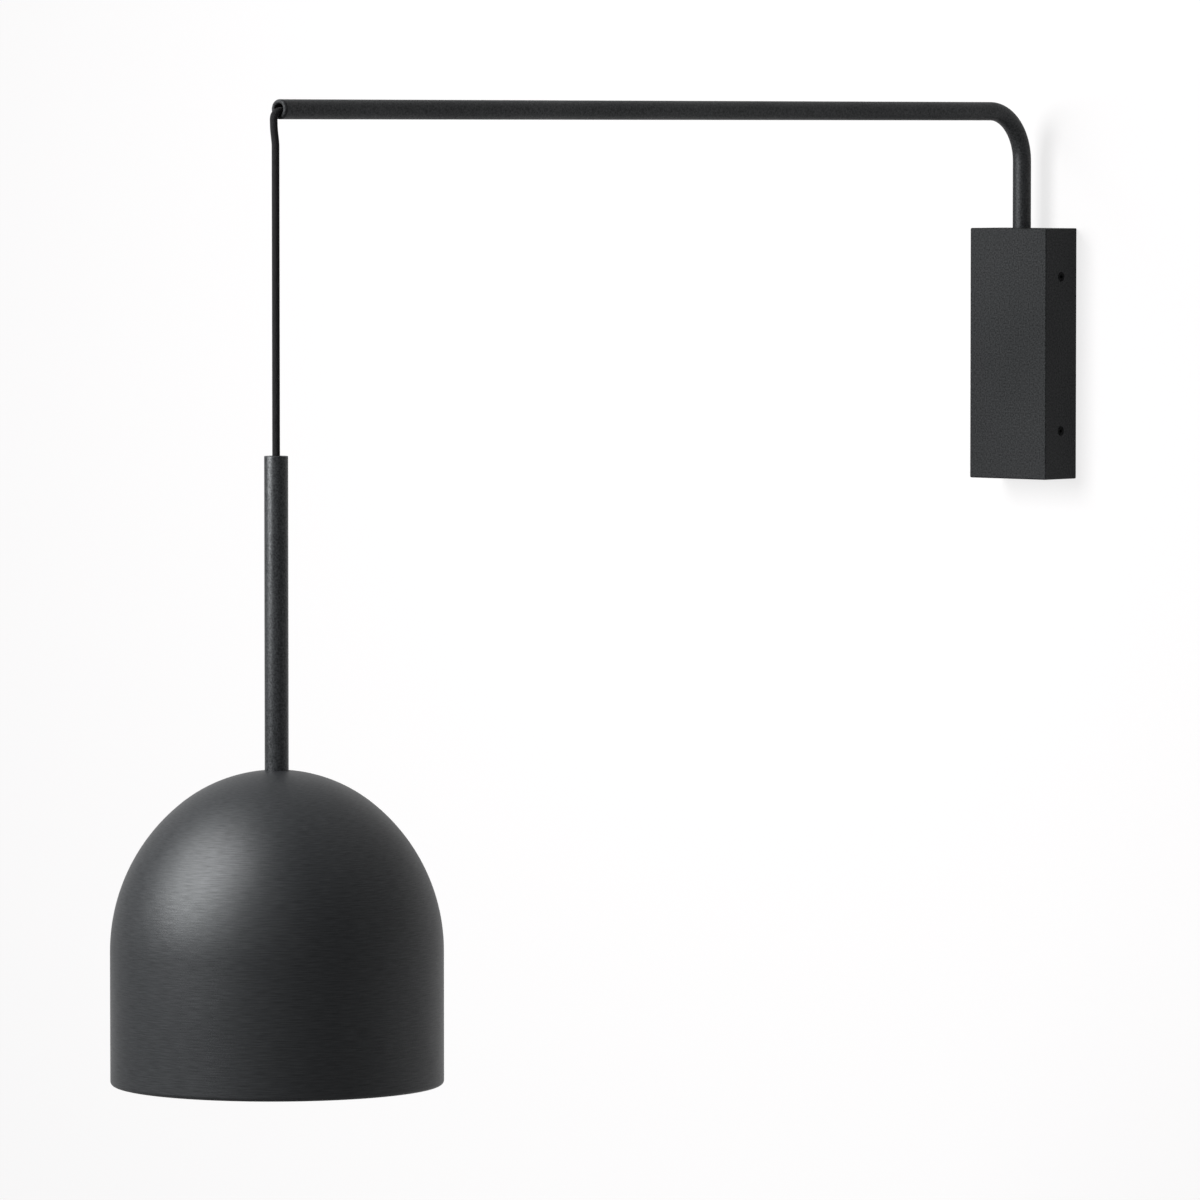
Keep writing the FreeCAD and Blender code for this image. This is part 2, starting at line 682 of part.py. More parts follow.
def make_block_screws():
    front = bracket_wall + block_depth
    fixings = []
    for way in (-1, 1):
        place = (way * pole_pitch / 2, -front, block_level)
        label = f"block_screw_{len(fixings) + 1}"
        fixings.append(pan_screw(label, fine_radius, front - loose_gap, place, TO_FRONT))
    group("block_screws", fixings)
    screws = []
    for pole in (-1, 0, 1):
        for up in (-1, 1):
            place = (pole * pole_pitch, well_depth - front, up * well_level + block_level)
            corners = ring(0, well_radius - fit_gap, 0, well_depth / 2)
            screw = turned(f"terminal_screw_{len(screws) + 1}", corners, place, TO_FRONT)
            screws.append(screw)
    group("terminal_screws", screws)


def make_earth_screw():
    place = (0, -bracket_wall, earth_level)
    keep(pan_screw("earth_screw", coarse_radius, bracket_wall - loose_gap, place, TO_FRONT))


# --- arm --------------------------------------------------------------------------------------


def make_arm_tube():
    """One bent tube: the upright leg stands in the sleeve, the level leg ends at the mouth."""
    body = new_body("arm_tube")
    path = new_sketch(body, "YZ_Plane")
    draw(path, [
        (-pivot_depth, tube_foot), (-pivot_depth, arm_height, bend_radius),
        (-arm_reach, arm_height),
    ], closed=False)
    section = new_sketch(body, "XY_Plane", tube_foot)
    draw_circle(section, 0, -pivot_depth, tube_radius)
    draw_circle(section, 0, -pivot_depth, tube_bore)
    doc.recompute()
    pipe = body.newObject("PartDesign::AdditivePipe", "arm_tube_pipe")
    pipe.Profile = section
    pipe.Spine = path
    doc.recompute()
    hole = new_sketch(body, "XZ_Plane")
    draw_circle(hole, 0, sleeve_bottom + sleeve_length / 2, stop_radius + fit_gap)
    pocket(body, hole, pivot_depth, back=True)
    keep(body)


def make_arm_collar():
    """The collar that carries the arm on the thrust washer, with its grub screw."""
    place = (0, -pivot_depth, collar_top - collar_height)
    bore = tube_radius + fit_gap
    body = turned("arm_collar", ring(bore, collar_radius, 0, collar_height), place)
    hole = new_sketch(body, "XZ_Plane")
    draw_circle(hole, 0, collar_height / 2, coarse_radius + fit_gap)
    pocket(body, hole, collar_radius)
    keep(body)
    place = (0, bore - pivot_depth, collar_top - collar_height / 2)
    corners = ring(0, coarse_radius, 0, collar_radius - bore - loose_gap)
    keep(turned("collar_screw", corners, place, TO_WALL))


def make_stop_pin():
    """A pin set in the arm tube, which runs in the sleeve's slot."""
    place = (0, tube_bore - pivot_depth, sleeve_bottom + sleeve_length / 2)
    long = stop_reach - tube_bore
    keep(turned("stop_pin", ring(0, stop_radius, 0, long), place, TO_WALL))


def make_mouth_bush():
    """The rounded lip that the cord folds over, pressed into the arm's open end."""
    spigot = tube_bore - fit_gap
    outer_round = tube_radius - mouth_bore - lip_round - loose_gap
    corners = [
        (mouth_bore, -spigot_length), (spigot, -spigot_length), (spigot, 0),
        (tube_radius, 0), (tube_radius, lip_thick, outer_round),
        (mouth_bore, lip_thick, lip_round),
    ]
    keep(turned("mouth_bush", corners, (0, -arm_reach, arm_height), TO_FRONT))


# --- cord -------------------------------------------------------------------------------------


def cord_tube(label, route, radii):
    """A tube of straight runs joined by tangent arcs, in the plane x = 0.

    The route's points are (y, z). A point named in radii has that bend radius, and any other the
    largest that its two runs leave room for.
    """
    points = [Vector(0, as_size(y).number, as_size(z).number) for y, z in route]
    start, edges, bends = points[0], [], []
    for i in range(1, len(points) - 1):
        before, corner, after = points[i - 1:i + 2]
        turn = (corner - before).getAngle(after - corner)
        shorter = min((corner - before).Length, (after - corner).Length)
        radius = as_size(radii[i]).number if i in radii else 0.45 * shorter / math.tan(turn / 2)
        arc = corner_arc(before, corner, after, radius)
        edges += [Part.LineSegment(start, arc[0]).toShape(), Part.Arc(*arc).toShape()]
        bends.append(round(radius, 1))
        start = arc[2]
    edges.append(Part.LineSegment(start, points[-1]).toShape())
    line = Part.Wire(edges)
    along = (points[1] - points[0]).normalize()
    thick = cord_radius.number
    section = Part.Wire([Part.Circle(points[0], along, thick).toShape()])
    tube = line.makePipeShell([section], True, False)
    expected = math.pi * thick**2 * line.Length
    print(label, "bend radii", bends, "length", round(line.Length, 1),
          "volume over section times length", round(tube.Volume / expected, 5))
    feature = doc.addObject("Part::Feature", label)
    feature.Label = label
    feature.Shape = tube
    feature.Placement = Placement()
    keep(feature)


def make_arm_cord():
    """The cord inside the arm, out of its mouth, over the lip and down to the swing axis."""
    level = arm_height - cord_lift
    out = -pendant_reach - cord_bulge
    end = swing_level + cord_radius + joint_gap
    route = [
        (-pivot_depth, cord_joint), (-pivot_depth, arm_height), (-arm_reach + 40, arm_height),
        (-arm_reach + 12, level), (out, level), (out, end + 16),
        (-pendant_reach, end + 5), (-pendant_reach, end),
    ]
    cord_tube("arm_cord", route, {1: bend_radius, 4: lip_bend})


def make_box_cord():
    """The cord in the wall box, from the arm's foot back to the clamp and the terminal block."""
    clamp_top = clamp_level + clamp_height / 2
    route = [
        (-pivot_depth, cord_joint), (-pivot_depth, cord_joint - 13),
        (-cord_line, clamp_top + 10), (-cord_line, block_top),
    ]
    cord_tube("box_cord", route, {})


def rod(label, low, high, rounded_low, rounded_high):
    """A straight length of cord on the pendant's axis; a rounded end turns about its centre."""
    pieces = [doc.addObject("Part::Cylinder", f"{label}_length")]
    bind(pieces[0], "Radius", cord_radius)
    bind(pieces[0], "Height", high - low)
    put(pieces[0], (0, -pendant_reach, low))
    for level, rounded in ((low, rounded_low), (high, rounded_high)):
        if rounded:
            ball = doc.addObject("Part::Sphere", f"{label}_end")
            bind(ball, "Radius", cord_radius)
            put(ball, (0, -pendant_reach, level))
            pieces.append(ball)
    joined = doc.addObject("Part::MultiFuse", label)
    joined.Label = label
    joined.Shapes = pieces
    joined.Refine = True
    keep(joined)


def make_hanging_cords():
    """The cord below the mouth: a short length that swings, and the long one that sways on it."""
    upper_end = sway_level + cord_radius + joint_gap
    rod("upper_cord", upper_end, swing_level, False, True)
    rod("hanging_cord", tilt_level, sway_level, True, True)


# --- pendant ----------------------------------------------------------------------------------


def make_stem():
    """The stem, with the plug and the grip that hold its cord, and the insert at its foot."""
    axis = (0, -pendant_reach, seat_level)
    corners = [
        (stem_bore, 0), (stem_radius, 0), (stem_radius, stem_length, stem_edge),
        (stem_bore, stem_length),
    ]
    keep(turned("stem_tube", corners, axis))
    bore = cord_radius + plug_gap
    fit = stem_bore - fit_gap
    top = (0, -pendant_reach, stem_top)
    keep(turned("stem_plug", ring(bore, fit, -plug_height, 0), top))
    make_cord_grip()
    bore = nipple_radius + fit_gap
    keep(turned("stem_insert", ring(bore, fit, 0, insert_height), axis))


def make_cord_grip():
    """A collar clamped on the cord by a grub screw; the plug above it carries the weight."""
    level = stem_top - plug_height - grip_height
    bore = cord_radius + fit_gap
    body = turned("cord_grip", ring(bore, grip_radius, 0, grip_height), (0, -pendant_reach, level))
    hole = new_sketch(body, "XZ_Plane")
    draw_circle(hole, 0, grip_height / 2, fine_radius + fit_gap)
    pocket(body, hole, grip_radius)
    keep(body)
    place = (0, bore - pendant_reach, level + grip_height / 2)
    corners = ring(0, fine_radius, 0, grip_radius - bore - loose_gap)
    keep(turned("grip_screw", corners, place, TO_WALL))


def make_stem_cord():
    """The cord inside the stem, from its top to the lampholder's deck."""
    foot = stem_length + cap_foot
    keep(turned("stem_cord", ring(0, cord_radius, -foot, 0), (0, -pendant_reach, stem_top)))


def draw_dome(sketch, across, foot, crown, crown_level, seat_end, skirt_end):
    """Joins the seat to the skirt by two tangent arcs: the crown's, and the haunch's below it.

    The crown's centre lies on the shade's axis at crown_level, and the haunch's at the level
    foot. Each end is given as a line of the sketch and its end's number.
    """
    rise = crown_level.number - foot.number
    run = across.number - crown.number
    haunch = (rise**2 + run**2) / (2 * run) + crown.number
    middles = Vector(0, crown_level.number, 0), Vector(across.number - haunch, foot.number, 0)
    lean = (middles[0] - middles[1]) / (haunch - crown.number)
    meeting = middles[0] + lean * crown.number
    seat, skirt = sketch.getPoint(*seat_end), sketch.getPoint(*skirt_end)
    ends = ((middles[0], crown.number, meeting, seat), (middles[1], haunch, skirt, meeting))
    arcs = []
    for middle, radius, low, high in ends:
        angles = [math.atan2(end.y - middle.y, end.x - middle.x) for end in (low, high)]
        circle = Part.Circle(middle, Vector(0, 0, 1), radius)
        arcs.append(sketch.addGeometry(Part.ArcOfCircle(circle, *angles)))
    for arc, level in zip(arcs, (crown_level, foot)):
        fix(sketch, "DistanceY", -1, 1, arc, 3, to=level)
    fix(sketch, "DistanceX", -1, 1, arcs[0], 3, to=0)
    sketch.addConstraint(Sketcher.Constraint("Coincident", arcs[0], 2, *seat_end))
    sketch.addConstraint(Sketcher.Constraint("Coincident", arcs[1], 1, *skirt_end))
    sketch.addConstraint(Sketcher.Constraint("Tangent", arcs[0], 1, arcs[1], 2))


def make_shade():
    """A spun bell: flat seat, domed top, straight skirt and a rim turned inwards."""
    body = new_body("shade", (0, -pendant_reach, seat_level))
    sketch = new_sketch(body, "XZ_Plane")
    inner = shade_radius - shade_wall
    crown_radius = shade_radius * shade_radius / dome_height
    inner_crown = crown_radius - shade_wall
    crown_level = -root(crown_radius * crown_radius - seat_radius * seat_radius)
    under = -shade_wall - crown_level
    inner_seat = root(inner_crown * inner_crown - under * under)
    foot = crown_level + crown_radius - dome_height
    rim = foot - skirt_height
    lip = shade_radius - rim_lip
    hole = nipple_radius + loose_gap
    skirt = draw(sketch, [
        (shade_radius, foot), (shade_radius, rim, rim_round), (lip, rim),
        (lip, rim + shade_wall), (inner, rim + shade_wall, rim_round - shade_wall),
        (inner, foot),
    ], closed=False)
    seat = draw(sketch, [
        (inner_seat, -shade_wall), (hole, -shade_wall), (hole, 0), (seat_radius, 0),
    ], closed=False)
    draw_dome(sketch, shade_radius, foot, crown_radius, crown_level, (seat[-1], 2), (skirt[0], 1))
    draw_dome(sketch, inner, foot, inner_crown, crown_level, (seat[0], 1), (skirt[-1], 2))
    turn_round(body, sketch)
    keep(body)


def make_shade_fixing():
    """The threaded tube, washer and nut that clamp the shade under the stem."""
    axis = (0, -pendant_reach, seat_level)
    foot = holder_drop + thread_length
    corners = ring(nipple_radius - nipple_wall, nipple_radius, -foot, nipple_rise)
    keep(turned("nipple", corners, axis))
    hole = nipple_radius + loose_gap
    washer_foot = -shade_wall - clamp_washer
    corners = ring(hole, seat_radius - loose_gap, washer_foot, -shade_wall)
    keep(turned("shade_washer", corners, axis))
    nut_foot = seat_level + washer_foot - nut_thick
    body = new_body("lock_nut", (0, -pendant_reach, nut_foot))
    sketch = new_sketch(body, "XY_Plane")
    hexagon(sketch, nut_flats)
    draw_circle(sketch, 0, 0, nipple_radius + fit_gap)
    pad(body, sketch, nut_thick)
    keep(body)


def make_lampholder():
    """An E27 holder: cap on the threaded tube, body, ceramic block, shell and centre contact."""
    axis = (0, -pendant_reach, seat_level)
    bore = nipple_radius + fit_gap
    neck_foot = holder_drop + neck_height
    inner = holder_radius - holder_wall
    thread_foot = holder_drop + thread_length
    keep(turned("lampholder_cap", [
        (bore, -holder_drop), (neck_radius, -holder_drop), (neck_radius, -neck_foot),
        (holder_radius, -neck_foot - cap_shoulder), (holder_radius, -cap_foot),
        (inner, -cap_foot), (inner, -thread_foot - cap_shoulder),
        (neck_radius, -thread_foot), (bore, -thread_foot),
    ], axis))
    well = shell_radius + fit_gap
    deck_foot = cap_foot + deck_thick
    keep(turned("lampholder_body", [
        (0, -cap_foot), (holder_radius, -cap_foot), (holder_radius, -holder_foot),
        (well, -holder_foot), (well, -deck_foot), (0, -deck_foot),
    ], axis))
    hole = rivet_radius + fit_gap
    keep(turned("contact_block", ring(hole, shell_radius, -shell_top, -deck_foot), axis))
    keep(turned("threaded_shell", ring(
        shell_radius - shell_wall, shell_radius, holder_wall - holder_foot, -shell_top), axis))
    keep(turned("centre_contact", [
        (0, -deck_foot), (rivet_radius, -deck_foot), (rivet_radius, -shell_top),
        (rivet_head, -shell_top), (rivet_head, -shell_top - rivet_thick),
        (0, -shell_top - rivet_thick),
    ], axis))


def make_bulb():
    """The bulb: screw base, flared collar and round globe."""
    axis = (0, -pendant_reach, seat_level)
    keep(turned("bulb_base", [
        (0, -base_tip), (base_nose, -base_tip), (base_radius, -base_tip - base_nose),
        (base_radius, -base_foot), (0, -base_foot),
    ], axis))
    edge = root(globe_radius * globe_radius - globe_shoulder * globe_shoulder)
    keep(turned("bulb_collar", [
        (0, -base_foot), (bulb_neck, -base_foot),
        (bulb_waist, -base_foot - waist_drop, waist_round),
        (edge, -collar_foot), (0, -collar_foot),
    ], axis))
    globe = doc.addObject("Part::Sphere", "bulb_globe")
    globe.Label = "bulb_globe"
    bind(globe, "Radius", globe_radius)
    globe.Angle1 = -90
    globe.Angle2 = math.degrees(math.asin(globe_shoulder.number / globe_radius.number))
    put(globe, (0, -pendant_reach, seat_level - collar_foot - globe_shoulder))
    keep(globe)


def check_and_write():
    """Stops on a failed object or an invalid shape, then writes one file for each sub-part."""
    doc.recompute()
    for thing in doc.Objects:
        if "Invalid" in thing.State or "Error" in thing.State:
            raise ValueError(f"{thing.Label} failed: {thing.State}")
    for piece in SUB_PARTS:
        if piece.Shape.isNull() or not piece.Shape.isValid():
            raise ValueError(f"{piece.Label} has no valid shape")
    os.makedirs("parts", exist_ok=True)
    for piece in SUB_PARTS:
        piece.Shape.exportStep(f"parts/{piece.Label}.step")
        box = piece.Shape.BoundBox
        print(f"{piece.Label:18s} {len(piece.Shape.Solids)} {piece.Shape.Volume:11.1f} mm3",
              [round(v, 1) for v in (box.XMin, box.XMax, box.YMin, box.YMax, box.ZMin, box.ZMax)])


make_wall_bracket()
make_wall_housing()
make_cover_screws()
make_pivot_carrier()
make_pivot_sleeve()
make_bushes()
make_cable_grommet()
make_cord_clamp()
make_terminal_block()
make_earth_screw()
make_box_cord()
make_arm_tube()
make_arm_collar()
make_stop_pin()
make_mouth_bush()
make_arm_cord()
make_hanging_cords()
make_stem()
make_stem_cord()
make_shade()
make_shade_fixing()
make_lampholder()
make_bulb()
check_and_write()
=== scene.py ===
import json
import math

import bpy
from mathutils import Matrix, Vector


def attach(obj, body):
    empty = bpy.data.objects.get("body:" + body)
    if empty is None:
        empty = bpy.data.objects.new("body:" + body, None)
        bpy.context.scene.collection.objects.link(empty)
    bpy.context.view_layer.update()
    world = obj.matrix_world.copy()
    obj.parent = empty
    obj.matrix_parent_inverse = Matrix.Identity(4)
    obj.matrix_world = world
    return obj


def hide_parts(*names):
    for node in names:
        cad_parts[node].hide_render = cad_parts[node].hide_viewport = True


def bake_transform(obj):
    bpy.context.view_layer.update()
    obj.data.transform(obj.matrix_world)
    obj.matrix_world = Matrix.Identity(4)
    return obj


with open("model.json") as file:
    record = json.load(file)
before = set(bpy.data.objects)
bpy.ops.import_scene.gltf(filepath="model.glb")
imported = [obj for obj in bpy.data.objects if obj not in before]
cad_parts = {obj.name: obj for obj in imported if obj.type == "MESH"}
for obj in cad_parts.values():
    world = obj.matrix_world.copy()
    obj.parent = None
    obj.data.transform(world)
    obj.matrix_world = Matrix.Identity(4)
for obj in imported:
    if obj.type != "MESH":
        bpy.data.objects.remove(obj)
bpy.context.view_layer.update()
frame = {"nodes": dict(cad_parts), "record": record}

# Looks of the hanging pendant wall sconce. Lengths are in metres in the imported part's frame:
# the wall is y = 0, the lamp stands out along -Y, +Z is up. MM turns millimetres into metres.
MM = 0.001

# Arm
PIVOT_Y = -22 * MM
ARM_FOOT = 17 * MM
ARM_LEVEL = 198 * MM
ARM_END = -894.5 * MM
ARM_BEND = 41 * MM
TUBE_RADIUS = 7.5 * MM
TUBE_BORE = 6 * MM

# Pendant
PENDANT_Y = -900 * MM
STEM_TOP = -60.5 * MM
STEM_RADIUS = 9 * MM
STEM_WALL = 1.2 * MM
SEAT = -295.9 * MM
SEAT_RADIUS = 10.5 * MM
SHADE_HOLE = 5.2 * MM
SHADE_RADIUS = 125 * MM
SHADE_WALL = 1.2 * MM
DOME_HEIGHT = 136 * MM
SKIRT_HEIGHT = 100 * MM
RIM_LIP = 119 * MM
RIM_ROUND = 3 * MM

# Cord. Its line is drawn from CORD_START_Y on, in three lengths parted at the two cuts.
CORD_RADIUS = 2.9 * MM
CORD_STEP = 0.5 * MM
CORD_START_Y = -850 * MM
UPPER_CUT = 157.4 * MM
LOWER_CUT = -20 * MM
CORD_POINTS = [
    (-22, 12), (-22, 198), (-854.5, 198), (-882.5, 196.8), (-901.9, 196.8), (-901.9, 184),
    (-900, 173), (-900, 168), (-900, 153), (-900, 0), (-900, -65),
]

BLACK = "black_paint"
SOFT_WHITE = (1.0, 0.995, 0.997, 1.0)


# --- meshes -----------------------------------------------------------------------------------


def add_mesh(name, points, faces, uvs, finish):
    """A smooth-shaded mesh piece. uvs holds one (u, v) for each corner of each face.
    """
    mesh = bpy.data.meshes.new(name)
    mesh.from_pydata(points, [], faces)
    layer = mesh.uv_layers.new(name="UVMap")
    layer.data.foreach_set("uv", [value for uv in uvs for value in uv])
    mesh.polygons.foreach_set("use_smooth", [True] * len(faces))
    mesh.materials.append(finish)
    piece = bpy.data.objects.new(name, mesh)
    bpy.context.scene.collection.objects.link(piece)
    return piece


def grid_faces(rows, columns, first=0):
    """Quads between neighbouring rows of points, each row closed to a ring."""
    faces = []
    for row in range(rows - 1):
        low, high = first + row * columns, first + (row + 1) * columns
        for column in range(columns):
            after = (column + 1) % columns
            faces.append((low + column, low + after, high + after, high + column))
    return faces


def grid_uvs(lengths, columns):
    """Corner coordinates of grid_faces: the share of a turn, and the length along."""
    uvs = []
    for low, high in zip(lengths, lengths[1:]):
        for column in range(columns):
            left, right = column / columns, (column + 1) / columns
            uvs += [(left, low), (right, low), (right, high), (left, high)]
    return uvs


def arc(centre, radius, start, end, steps):
    """Points (across, up) of an arc in degrees, both ends included."""
    angles = [math.radians(start + (end - start) * i / steps) for i in range(steps + 1)]
    return [(centre[0] + radius * math.cos(a), centre[1] + radius * math.sin(a)) for a in angles]


def split_profile(profile, sharp=30):
    """Cuts a profile at its sharp corners, so that each stretch is shaded smoothly by itself."""
    stretches, current = [], [profile[0]]
    for before, here, after in zip(profile, profile[1:], profile[2:]):
        current.append(here)
        into = math.atan2(here[1] - before[1], here[0] - before[0])
        out = math.atan2(after[1] - here[1], after[0] - here[0])
        turn = abs(math.degrees(math.remainder(out - into, math.tau)))
        if turn > sharp:
            stretches.append(current)
            current = [here]
    stretches.append(current + [profile[-1]])
    return stretches


def lathe(name, profile, finish, place, columns=96, forward=False):
    """Turns a profile of (radius, height) round +Z, or round -Y where forward is set."""
    points, faces, uvs = [], [], []
    reached = 0.0
    for stretch in split_profile(profile):
        first, lengths = len(points), []
        for i, (radius, height) in enumerate(stretch):
            if i:
                reached += math.dist(stretch[i - 1], stretch[i])
            lengths.append(reached)
            for column in range(columns):
                angle = math.tau * column / columns
                across, along = radius * math.cos(angle), radius * math.sin(angle)
                spot = (across, -height, along) if forward else (across, along, height)
                points.append(Vector(place) + Vector(spot))
        faces += grid_faces(len(stretch), columns, first)
        uvs += grid_uvs(lengths, columns)
    return add_mesh(name, points, faces, uvs, finish)


def tube(name, line, radius, finish, sides=32, start=0.0):
    """A tube round a line in the plane x = 0; start is the length that lies before it."""
    points, lengths, reached = [], [], start
    for i, spot in enumerate(line):
        if i:
            reached += (spot - line[i - 1]).length
        lengths.append(reached)
        along = (line[min(i + 1, len(line) - 1)] - line[max(i - 1, 0)]).normalized()
        outward = Vector((0, along.z, -along.y))
        for side in range(sides):
            turn = math.tau * side / sides
            across = Vector((1, 0, 0)) * math.cos(turn) + outward * math.sin(turn)
            points.append(spot + across * radius)
    faces = grid_faces(len(line), sides)
    return add_mesh(name, points, faces, grid_uvs(lengths, sides), finish)


# --- finishes ---------------------------------------------------------------------------------


class Finish:
    """A procedural material built up node by node round one Principled shader."""

    def __init__(self, name, color, roughness, metallic=0.0):
        self.material = bpy.data.materials.new(name)
        self.material.use_nodes = True
        self.tree = self.material.node_tree
        self.surface = self.tree.nodes["Principled BSDF"]
        self.color = (*color, 1.0)
        self.put(self.surface, {"Base Color": self.color, "Roughness": roughness})
        self.put(self.surface, {"Metallic": metallic})

    def put(self, node, inputs):
        """Sets a node's inputs to numbers, or links them where another node's output is given."""
        for key, value in inputs.items():
            if isinstance(value, bpy.types.NodeSocket):
                self.tree.links.new(value, node.inputs[key])
            else:
                node.inputs[key].default_value = value
        return node

    def node(self, kind, inputs, **settings):
        """Adds a shader node of that kind."""
        node = self.tree.nodes.new("ShaderNode" + kind)
        for key, value in settings.items():
            setattr(node, key, value)
        return self.put(node, inputs)

    def maths(self, operation, *values):
        """The outcome of one sum on the values."""
        inputs = dict(enumerate(values))
        return self.node("Math", inputs, operation=operation).outputs[0]

    def place(self):
        """The point in the part's own frame."""
        return self.node("TexCoord", {}).outputs["Object"]

    def stretched(self, vector, scale):
        """The point with each of its three measures scaled."""
        inputs = {"Vector": vector, "Scale": scale}
        return self.node("Mapping", inputs, vector_type="POINT").outputs[0]

    def noise(self, vector, scale, detail=3.0):
        """A noise that lies mostly between 0.3 and 0.7."""
        inputs = {"Vector": vector, "Scale": scale, "Detail": detail}
        return self.node("TexNoise", inputs).outputs[0]

    def spread(self, value, low, high):
        """Maps a noise around its middle to the range low to high."""
        inputs = {"Value": value, "From Min": 0.3, "From Max": 0.7, "To Min": low, "To Max": high}
        return self.node("MapRange", inputs).outputs[0]

    def tint(self, value, darker, lighter):
        """Varies the base colour between two shares of it."""
        share = self.spread(value, darker, lighter)
        whole = {"Vector": self.color[:3], "Scale": share}
        mixed = self.node("VectorMath", whole, operation="SCALE").outputs[0]
        self.put(self.surface, {"Base Color": mixed})

    def bump(self, height, distance):
        """Adds relief: distance is the height in metres of a full step."""
        inputs = {"Height": height, "Distance": distance}
        earlier = self.surface.inputs["Normal"].links
        if earlier:
            inputs["Normal"] = earlier[0].from_socket
        bumped = self.node("Bump", inputs).outputs[0]
        self.put(self.surface, {"Normal": bumped})


def make_coat(name, shade, roughness, gloss=(0.14, 0.36), spun=False):
    """Black lacquer with a fine grain, or on the shade with the short streaks of spinning.

    shade is how much light the paint gives back; gloss is the range of its shine.
    """
    finish = Finish(name, (shade, shade * 1.07, shade * 1.17), roughness)
    place = finish.place()
    cloud = finish.noise(place, 9.0)
    grain = finish.noise(place, 750.0, 2.0)
    pattern, tints = grain, (0.6, 1.5)
    if spun:
        uv = finish.node("UVMap", {}).outputs[0]
        streaks = finish.stretched(uv, (60.0, 1200.0, 1.0))
        pattern, tints = finish.noise(streaks, 1.0, 4.0), (0.8, 1.2)
        finish.bump(pattern, 0.00003)
    finish.tint(pattern, *tints)
    finish.put(finish.surface, {"Specular IOR Level": finish.spread(pattern, *gloss)})
    low, high = roughness - 0.05, roughness + 0.05
    finish.put(finish.surface, {"Roughness": finish.spread(cloud, low, high)})
    finish.put(finish.surface, {"Specular Tint": (0.95, 0.98, 1.0, 1.0)})
    finish.bump(grain, 0.00005)
    return finish.material


def make_braid():
    """Black textile braid: strands that cross both ways round the cord, with matt fibres, painted
    shade in the grooves between strands and painted light on their crowns.
    """
    strands_round, strands_in_a_metre = 16.0, 620.0
    finish = Finish("braid", (0.003, 0.003, 0.0034), 0.85)
    uv = finish.node("UVMap", {}).outputs[0]
    parts = finish.node("SeparateXYZ", {0: uv}).outputs
    around = finish.maths("MULTIPLY", parts[0], strands_round)
    along = finish.maths("MULTIPLY", parts[1], strands_in_a_metre)
    strands = []
    for way in ("ADD", "SUBTRACT"):
        turn = finish.maths("MULTIPLY", finish.maths(way, around, along), math.pi)
        strands.append(finish.maths("ABSOLUTE", finish.maths("SINE", turn)))
    crossing = finish.maths("MULTIPLY", *strands)
    relief_and_groove_shade = finish.maths("POWER", crossing, 0.5)
    fibre = finish.noise(finish.stretched(uv, (60.0, 4000.0, 1.0)), 1.0, 2.0)
    # Painted shade and light: the colour follows the relief, darker in the grooves between
    # strands and lighter on their crowns.
    finish.tint(relief_and_groove_shade, 0.5, 1.6)
    finish.put(finish.surface, {"Sheen Weight": 0.02, "Specular IOR Level": 0.1})
    finish.bump(fibre, 0.00006)
    finish.bump(relief_and_groove_shade, 0.00035)
    return finish.material


def make_plain(name, color, roughness, metallic, grain, depth):
    """A bare or moulded material with a slight change of shade and a grain of that depth."""
    finish = Finish(name, color, roughness, metallic)
    place = finish.place()
    cloud = finish.noise(place, 35.0)
    fine = finish.noise(place, grain, 2.0)
    finish.tint(cloud, 0.88, 1.08)
    rough = finish.spread(cloud, max(roughness - 0.06, 0.02), roughness + 0.06)
    finish.put(finish.surface, {"Roughness": rough})
    finish.bump(fine, depth)
    return finish.material


def make_stage_finish(name, glow, color):
    """Pale matt paint that also glows a little, seen from its front only."""
    finish = Finish(name, color, 0.9)
    finish.put(finish.surface, {"Emission Color": SOFT_WHITE})
    finish.put(finish.surface, {"Emission Strength": glow, "Specular IOR Level": 0.0})
    clear = finish.node("BsdfTransparent", {}).outputs[0]
    behind = finish.node("NewGeometry", {}).outputs["Backfacing"]
    inputs = {0: behind, 1: finish.surface.outputs[0], 2: clear}
    mixed = finish.node("MixShader", inputs).outputs[0]
    output = finish.tree.nodes["Material Output"]
    finish.put(output, {"Surface": mixed})
    return finish.material


arm_coat = make_coat("arm_black_paint", 0.0065, 0.58)
# The housing's paint is the arm's black made darker and less shiny: painted shade against the key
# light on the box front.
painted_shade_box_coat = make_coat(BLACK, 0.0043, 0.65, (0.11, 0.28))
satin_coat = make_coat("satin_black_paint", 0.0085, 0.37)
dull_coat = make_coat("dull_black_paint", 0.004, 0.8)
spun_coat = make_coat("spun_black_paint", 0.0085, 0.5, (0.19, 0.3), spun=True)
